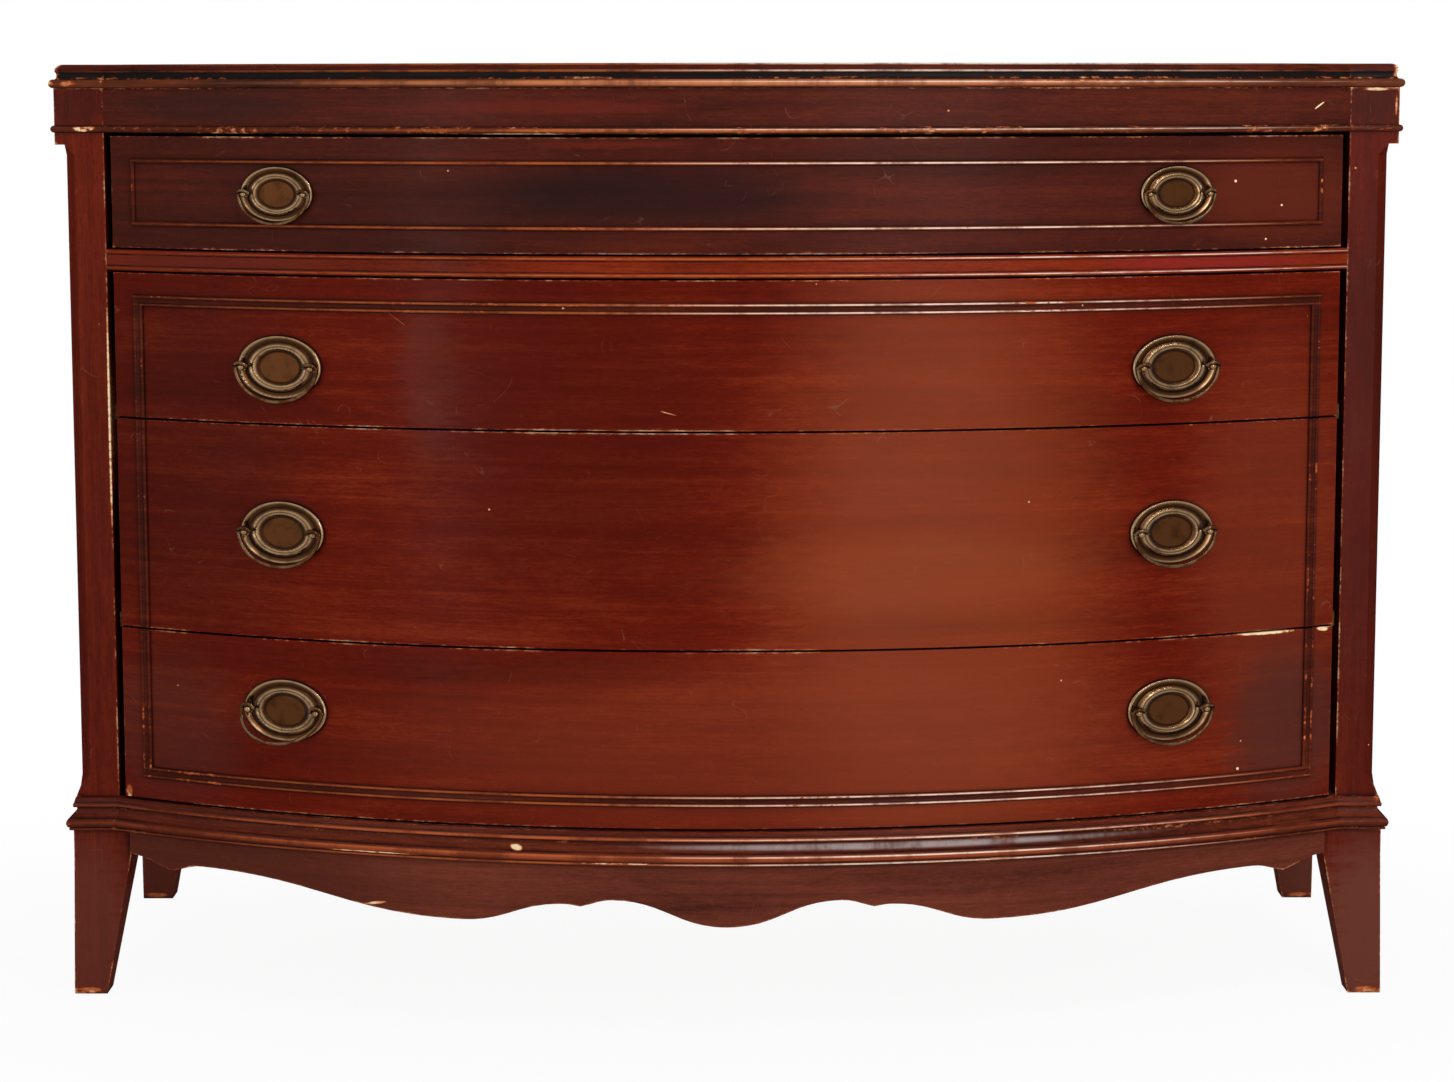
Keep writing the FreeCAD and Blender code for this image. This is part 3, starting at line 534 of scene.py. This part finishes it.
def shadows(heights, half=glint_half):
    """Dark lines in the quirks of a moulding."""
    return [(shadow_black_tone, [Mark(0.0, z, far, half, quirk_strength) for z in heights])]


def edges(graph, reach):
    """About 1 along sharp outer edges and 0 on flat faces."""
    settings = {"inside": True, "only_local": True, "samples": wood_rays}
    inner = graph.add("ShaderNodeAmbientOcclusion", settings, Distance=reach)
    return graph.math("MULTIPLY_ADD", inner.outputs["AO"], -2.0, 2.0)


def above_bow(graph, vector):
    """How far a point stands out from the bow."""
    flat = graph.mapped(vector, (0, bow_axis_y, 0), (1, 1, far))
    return graph.math("SUBTRACT", graph.length(flat), bow_radius)


def specks(graph, vector):
    """Small scattered chips, in some of the cells."""
    cells = graph.add("ShaderNodeTexVoronoi", None, Scale=1.0)
    graph.put(cells.inputs["Vector"], graph.mapped(vector, size=(speck_pitch, speck_pitch, speck_pitch)))
    inner = speck_radius / speck_pitch
    outer = speck_edge / speck_pitch
    near = graph.span(cells.outputs["Distance"], inner, outer, 1.0, 0.0)
    chosen = graph.math("GREATER_THAN", graph.noise(vector, speck_noise), speck_level)
    return graph.math("MULTIPLY", near, chosen)


def worn(graph, vector, edge, level, marks):
    """How far the finish has gone: along edges, at marks and in small chips."""
    patch = graph.noise(vector, patch_noise)
    chip = graph.noise(vector, chip_noise)
    uneven = graph.math("MULTIPLY_ADD", patch, patch_share, graph.math("MULTIPLY", chip, chip_share))
    wear = graph.math("MULTIPLY", edge, graph.math("ADD", uneven, level - sound_level))
    wear = graph.math("MULTIPLY_ADD", specks(graph, vector), speck_share, wear)
    if marks:
        torn = graph.math("MULTIPLY_ADD", chip, torn_share, torn_least)
        wear = graph.math("MULTIPLY_ADD", spots(graph, vector, marks), torn, wear)
    return wear


def lacquered(graph, colour, rough, bump):
    """A matte colour under a thin even gloss."""
    matte = graph.add("ShaderNodeBsdfPrincipled", None, Base_Color=colour, Roughness=matte_roughness)
    matte.inputs["Specular IOR Level"].default_value = 0.0
    gloss = graph.add("ShaderNodeBsdfAnisotropic", None, Color=(1, 1, 1, 1), Roughness=rough)
    for shader in (matte, gloss):
        graph.put(shader.inputs["Normal"], bump.outputs[0])
    return graph.finish(graph.blend(gloss_share, matte, gloss))


def mahogany(
    name,
    tones,
    along="x",
    dropped="y",
    turn=0.0,
    level=plain_wear,
    reach=edge_reach,
    crest=False,
    marks=(),
    stains=(),
    lines=(),
    core=(),
):
    """Lacquered mahogany with grain, stains and patches of painted light and shade, hairlines, painted
    shade in the hollows, painted highlight and shadow lines, worn edges and chips.

    With crest, the wear follows how far a bead stands out, and core gives the tones of bare wood behind.
    """
    graph = Graph(name)
    vector = graph.coordinates()
    colour, pores = grain(graph, vector, tones, along, dropped, turn)
    if stains:
        # Stains, and on some pieces painted light and shade
        colour = with_patches(graph, vector, colour, stains)
    colour = scratched(graph, vector, colour)
    # Painted shade: darker in the hollows
    colour = darkened_in_hollows(graph, colour, hollow_shade_tone, hollow_shade_reach, hollow_shade_fade, wood_rays)
    if lines:
        # Painted highlight and shadow lines along the mouldings
        colour = lined(graph, vector, colour, lines)
    edge = graph.span(above_bow(graph, vector), *crest_fade) if crest else edges(graph, reach)
    wear = worn(graph, vector, edge, level, marks)
    gone = graph.span(wear, *gone_fade)
    colour = graph.mix(gone, colour, graph.ramp(wear, worn_places, worn_tones))
    if core:
        inside = graph.math("LESS_THAN", above_bow(graph, vector), -veneer_depth)
        bare, pores = grain(graph, vector, core, along, dropped, turn)
        colour = graph.mix(inside, colour, bare)
    haze = graph.span(graph.noise(vector, haze_noise), *haze_fade)
    rough = graph.math("MULTIPLY_ADD", gone, worn_roughness, haze)
    sunk = graph.math("MULTIPLY", gone, worn_relief_share)
    height = graph.math("MULTIPLY_ADD", pores, pore_relief_share, sunk)
    height = graph.math("ADD", height, graph.noise(vector, wave_noise))
    bump = graph.add("ShaderNodeBump", None, Strength=wood_bump, Distance=lacquer_relief, Height=height)
    return lacquered(graph, colour, rough, bump)


def bare_wood(name, tones, along):
    """Unfinished inner wood with grain and handling marks."""
    graph = Graph(name)
    vector = graph.coordinates()
    colour, pores = grain(graph, vector, tones, along)
    handling = graph.noise(vector, handling_noise)
    colour = graph.mix(graph.span(handling, *handling_fade), colour, linear(tones[0]))
    bump = graph.add("ShaderNodeBump", None, Strength=wood_bump, Distance=bare_relief, Height=pores)
    rough = graph.span(handling, *bare_roughness_fade)
    shader = graph.add("ShaderNodeBsdfPrincipled", None, Base_Color=colour, Roughness=rough)
    shader.inputs["Specular IOR Level"].default_value = bare_specular
    graph.put(shader.inputs["Normal"], bump.outputs[0])
    return graph.finish(shader)


def out_from_centre(graph, vector):
    """How far out a point lies on its own oval backplate: 0 at the centre and 1 at the rim."""
    folded = graph.add("ShaderNodeVectorMath", {"operation": "ABSOLUTE"}, Vector=vector).outputs[0]
    nearest = far
    for number in drawer_numbers:
        low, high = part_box(f"drawer_{number}_backplates")
        place = (pull_x, 0, (low[2] + high[2]) / 2)
        size = (high[0] - pull_x, far, (high[2] - low[2]) / 2)
        nearest = graph.math("MINIMUM", graph.length(graph.mapped(folded, place, size)), nearest)
    return nearest


def metal(name, tones, roughness, rings=()):
    """Aged metal, tarnished in clouds and with painted shade in the hollows; rings are dark in the
    hollows and lighter on the ridges, partly rubbed and partly painted highlight.
    """
    graph = Graph(name)
    vector = graph.coordinates()
    tarnish = graph.noise(vector, tarnish_noise)
    if rings:
        places = [place for place, index in rings]
        ring_tones = [tones[index] for place, index in rings]
        colour = graph.ramp(out_from_centre(graph, vector), places, ring_tones)
    else:
        colour = graph.ramp(tarnish, tarnish_places, tones)
    colour = graph.mix(graph.span(tarnish, *tarnish_fade), colour, linear(tones[0]))
    # Painted shade: darker in the hollows
    colour = darkened_in_hollows(graph, colour, tones[0], metal_hollow_shade_reach, metal_hollow_shade_fade, metal_rays)
    rough = graph.span(tarnish, *tarnish_roughness_fade, roughness, roughness + tarnish_roughness)
    fine = graph.noise(vector, fine_noise)
    bump = graph.add("ShaderNodeBump", None, Strength=metal_bump, Distance=metal_relief, Height=fine)
    shader = graph.add("ShaderNodeBsdfPrincipled", None, Base_Color=colour, Roughness=rough)
    shader.inputs["Metallic"].default_value = 1.0
    graph.put(shader.inputs["Normal"], bump.outputs[0])
    return graph.finish(shader)


def strip(name, tones, level=moulding_wear, reach=moulding_reach, **places):
    """Mahogany of a moulding that runs along the front and the sides."""
    return mahogany(name, tones, turn=strip_turn, level=level, reach=reach, **places)


def raised(marks, height):
    """The marks of a moulding, moved up to where it lies."""
    return [mark._replace(z=height + mark.z) for mark in marks]


def lip_finish():
    """The moulded lip of the top, with painted shade in its hollow and painted highlight and shadow
    lines.
    """
    lip_low, lip_high = (corner[2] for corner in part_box("top_edge_moulding"))
    # Painted shade in the hollow
    stains = [(shadow_black_tone, raised(lip_hollow, lip_low))]
    lines = [
        *shadows((lip_low + lip_quirk,), lip_quirk_half),
        *glints((lip_low + lip_low_crest, lip_high - lip_high_crest)),
    ]
    return strip("lip_mahogany", moulding_tones, reach=edge_reach, stains=stains, lines=lines)


def lip_bead_finish():
    """The round bead under the lip, with painted highlight and shadow lines and painted shade at its left
    end.
    """
    bead_low, bead_high = (corner[2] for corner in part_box("top_bead"))
    crest = (bead_low + bead_high) / 2
    # Painted shade at the left end
    stains = [(shadow_black_tone, raised(lip_bead_dark_end, crest))]
    lines = [
        # Painted highlight lines, painted shadow lines above and below
        (lip_bead_orange_glint, raised(lip_bead_orange_line, crest)),
        *shadows((bead_low, bead_high)),
        (white_glint_tone, raised(lip_bead_white_line, crest)),
    ]
    marks = raised(lip_bead_chip, crest) + lip_bead_marks
    return strip("top_bead_mahogany", lip_bead_tones, stains=stains, lines=lines, marks=marks)


def small_bead_finish():
    """The small bead under the frieze, with painted highlight and shadow lines."""
    small_low, small_high = (corner[2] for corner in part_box("frieze_bead"))
    crest = (small_low + small_high) / 2
    lines = [
        # Painted highlight lines, painted shadow lines above and below
        (orange_glint_tone, raised(small_bead_orange_line, crest)),
        *shadows((small_low, small_high), small_bead_quirk_half),
        (white_glint_tone, raised(small_bead_white_line, crest)),
    ]
    marks = raised(small_bead_chip, crest) + small_bead_marks
    return strip("frieze_bead_mahogany", small_bead_tones, small_bead_wear, lines=lines, marks=marks)


def rail_finish():
    """The divider rail, with a bead along each edge, and painted highlight and shadow lines along the
    beads.
    """
    rail_low, rail_high = (corner[2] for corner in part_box("divider_rail"))
    quirks = (rail_low + rail_quirk, rail_high - rail_quirk)
    crests = (rail_low + rail_crest, rail_high - rail_crest)
    lines = [*shadows(quirks, rail_quirk_half), *glints(crests, rail_glint_half, rail_white_x)]
    places = {"stains": rail_stains, "lines": lines}
    return mahogany("rail_mahogany", rail_tones, level=rail_wear, reach=rail_reach, **places)


def base_finish():
    """The base moulding: a bead, a nose, a hollow and a lip, with painted highlight and shadow lines and
    a painted reflection in the hollow.
    """
    base_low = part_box("base_moulding")[0][2]
    lines = [
        (base_orange_glint, raised(base_orange_lines, base_low)),
        (base_reflection_tone, raised(base_reflection_line, base_low)),
        *shadows([base_low + rise for rise in base_quirks]),
        *glints([base_low + rise for rise in base_glints]),
    ]
    return strip("base_mahogany", base_tones, marks=base_marks, lines=lines)


def planted_finish():
    """The mouldings planted on the drawer fronts, with painted highlight lines along their crests."""
    field_low, field_high = (corner[2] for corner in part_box("drawer_1_moulding"))
    panel_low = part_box("drawer_4_moulding")[0][2]
    panel_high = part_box("drawer_2_moulding")[1][2]
    crests = [field_low + field_crest, field_high - field_crest]
    crests += [panel_low + crest for crest in panel_crests]
    crests += [panel_high - crest for crest in panel_crests]
    lines = glints(crests)
    return mahogany("bead_mahogany", moulding_tones, level=moulding_wear, crest=True, lines=lines)


def front_finish(name, tones, marks, stains):
    """A drawer front, veneered over pale wood."""
    return mahogany(name, tones, marks=marks, stains=stains, core=pale_tones)


def post_finish():
    """The posts, with grain upright."""
    places = {"marks": post_marks, "stains": post_stains}
    return mahogany("post_mahogany", post_tones, "z", "", level=post_wear, **places)


def finishes():
    """All the finishes, by short names."""
    frieze_places = {"marks": frieze_marks, "stains": frieze_stains}
    apron_places = {"marks": apron_marks, "stains": apron_stains}
    return {
        "top": mahogany("top_mahogany", top_tones, dropped="z", level=top_wear),
        "lip": lip_finish(),
        "lip_bead": lip_bead_finish(),
        "small_bead": small_bead_finish(),
        "frieze": mahogany("frieze_mahogany", frieze_tones, **frieze_places),
        "post": post_finish(),
        "side": mahogany("side_mahogany", post_tones, "z", "x"),
        "side_rail": mahogany("side_rail_mahogany", moulding_tones, "y", "x"),
        "rail": rail_finish(),
        "base": base_finish(),
        "apron": mahogany("apron_mahogany", apron_tones, **apron_places),
        "drawer": front_finish("drawer_mahogany", drawer_tones, drawer_marks, drawer_stains),
        "panel": front_finish("panel_mahogany", panel_tones, panel_marks, panel_stains),
        "planted": planted_finish(),
        "pale_x": bare_wood("pale_cross_wood", pale_tones, "x"),
        "pale_y": bare_wood("pale_long_wood", pale_tones, "y"),
        "pale_z": bare_wood("pale_upright_wood", pale_tones, "z"),
        "back": bare_wood("back_board", back_tones, "x"),
        "brass": metal("antique_brass", brass_tones, brass_roughness),
        "plate": metal("ringed_brass", brass_tones, brass_roughness, plate_rings),
        "post_brass": metal("post_brass", post_brass_tones, post_brass_roughness),
        "steel": metal("screw_steel", steel_tones, steel_roughness),
    }


case_finish = {
    "top_board": "top",
    "top_edge_moulding": "lip",
    "top_bead": "lip_bead",
    "frieze_rail": "frieze",
    "frieze_bead": "small_bead",
    "front_left_post": "post",
    "front_right_post": "post",
    "rear_left_post": "post",
    "rear_right_post": "post",
    "left_side_panel": "side",
    "right_side_panel": "side",
    "side_rails": "side_rail",
    "back_panel": "back",
    "back_rails": "pale_x",
    "divider_rail": "rail",
    "drawer_blades": "pale_x",
    "bottom_rail": "apron",
    "base_moulding": "base",
    "front_apron": "apron",
    "glue_blocks": "pale_z",
    "drawer_runners": "pale_y",
    "drawer_stops": "pale_x",
    "top_cleats": "pale_y",
    "screws": "steel",
}
drawer_finish = {
    "front": "panel",
    "moulding": "planted",
    "sides": "pale_y",
    "back": "pale_x",
    "bottom": "pale_x",
    "backplates": "plate",
    "pull_posts": "post_brass",
    "left_bail": "brass",
    "right_bail": "brass",
}


def finish_of(node):
    """The finish of a node, by its name; the top drawer's front has its own."""
    if node in case_finish:
        return case_finish[node]
    number, piece = node.removeprefix("drawer_").split("_", 1)
    return "drawer" if piece == "front" and number == "1" else drawer_finish[piece]


def dress():
    """Each CAD node gets its finish."""
    made = finishes()
    for name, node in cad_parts.items():
        node.material_slots[0].material = made[finish_of(name)]


def seen_white(tree):
    """One where a camera, mirror or glass ray looks."""
    path = tree.nodes.new("ShaderNodeLightPath")
    seen = path.outputs["Is Camera Ray"]
    for kind in ("Is Glossy Ray", "Is Transmission Ray"):
        either = tree.nodes.new("ShaderNodeMath")
        either.operation = "MAXIMUM"
        tree.links.new(seen, either.inputs[0])
        tree.links.new(path.outputs[kind], either.inputs[1])
        seen = either.outputs[0]
    return seen


def floor():
    """A pale floor that is white to the eye but keeps the shadow near the chest."""
    half = floor_half
    corners = [(-half, -half, 0), (half, -half, 0), (half, half, 0), (-half, half, 0)]
    mesh = bpy.data.meshes.new("floor")
    mesh.from_pydata(corners, [], [(0, 1, 2, 3)])
    plane = bpy.data.objects.new("floor", mesh)
    bpy.context.scene.collection.objects.link(plane)
    graph = Graph("pale_floor")
    matte = graph.add("ShaderNodeBsdfDiffuse", None, Color=floor_colour)
    white = graph.add("ShaderNodeEmission", None, Color=(1.0, 1.0, 1.0, 1.0), Strength=1.0)
    away = graph.length(graph.mapped(graph.coordinates(), size=floor_fade_size))
    share = graph.math("MULTIPLY", seen_white(graph.tree), graph.span(away, *floor_fade))
    mesh.materials.append(graph.finish(graph.blend(share, matte, white)))


def surroundings():
    """White to the eye, and a soft even fill for the rest."""
    world = bpy.data.worlds.new("studio")
    bpy.context.scene.world = world
    world.use_nodes = True
    tree = world.node_tree
    tree.nodes.clear()
    strength = tree.nodes.new("ShaderNodeMapRange")
    tree.links.new(seen_white(tree), strength.inputs["Value"])
    strength.inputs["To Min"].default_value = fill_level
    background = tree.nodes.new("ShaderNodeBackground")
    background.inputs["Color"].default_value = (1, 1, 1, 1)
    tree.links.new(strength.outputs[0], background.inputs["Strength"])
    output = tree.nodes.new("ShaderNodeOutputWorld")
    tree.links.new(background.outputs[0], output.inputs["Surface"])


def softbox(name, place, target, size, radiance):
    """A soft rectangular lamp aimed at a point."""
    lamp = bpy.data.lights.new(name, "AREA")
    lamp.shape = "RECTANGLE"
    lamp.size, lamp.size_y = size
    lamp.energy = radiance * math.pi * size[0] * size[1]
    holder = bpy.data.objects.new(name, lamp)
    bpy.context.scene.collection.objects.link(holder)
    holder.location = place
    holder.rotation_euler = (Vector(target) - Vector(place)).to_track_quat("-Z", "Y").to_euler()


def lamps():
    """Tall lamps at both sides, a high strip, a key lamp, one overhead and one behind."""
    for name, lamp in studio_lamps.items():
        softbox(name, *lamp)


def camera():
    """The photograph's viewpoint."""
    lens = bpy.data.cameras.new("camera")
    lens.lens = camera_lens
    lens.sensor_width = sensor_width
    lens.sensor_fit = "HORIZONTAL"
    holder = bpy.data.objects.new("camera", lens)
    bpy.context.scene.collection.objects.link(holder)
    holder.location = camera_place
    holder.rotation_euler = (math.radians(90 - camera_tilt), math.radians(camera_roll), 0)
    bpy.context.scene.camera = holder


dress()
floor()
surroundings()
lamps()
camera()
bpy.context.scene.view_settings.view_transform = "Standard"
